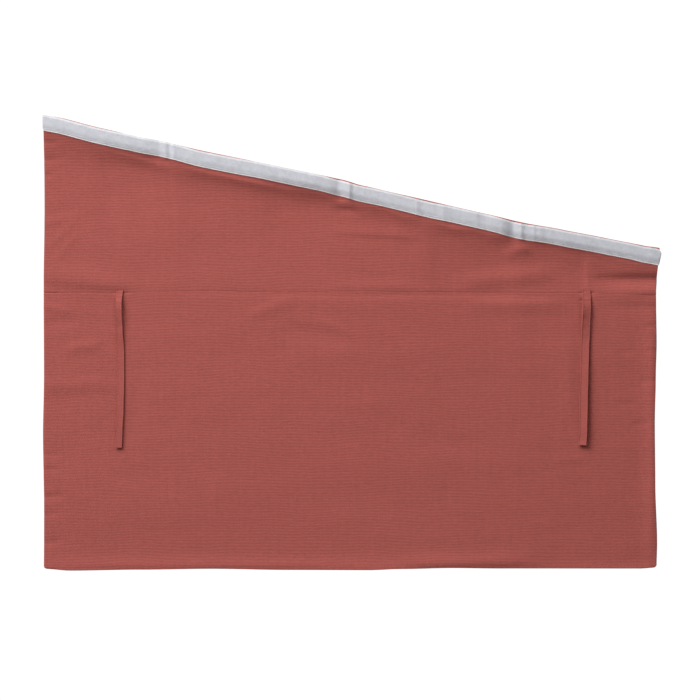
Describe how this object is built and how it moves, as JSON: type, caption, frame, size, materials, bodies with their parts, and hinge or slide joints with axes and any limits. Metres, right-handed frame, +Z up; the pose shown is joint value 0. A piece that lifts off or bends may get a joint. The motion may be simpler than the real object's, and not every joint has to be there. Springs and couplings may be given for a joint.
{
  "type": "bed curtain",
  "caption": "Slanted canvas curtain for the end of a raised bed, with a loop tape along its sloping top edge, a level seam and hanging fabric ties.",
  "frame": {"origin": "middle of the slanted top edge, in the plane of the loop tape's front face", "axes": "+X along the curtain's width towards its short side, +Y from the front face to the back, +Z up"},
  "size_m": [0.9967, 0.0184, 0.735],
  "materials": {
    "canvas": "matt terracotta-red cotton canvas with fine, irregular crosswise ribs",
    "loop_tape": "pale grey-white brushed nylon loop pile with smooth selvedges"
  },
  "bodies": {
    "root": {"upper_panel": "canvas", "lower_panel": "canvas", "loop_tape": "loop_tape", "tie_left": "canvas", "tie_right": "canvas"}
  },
  "joints": []
}
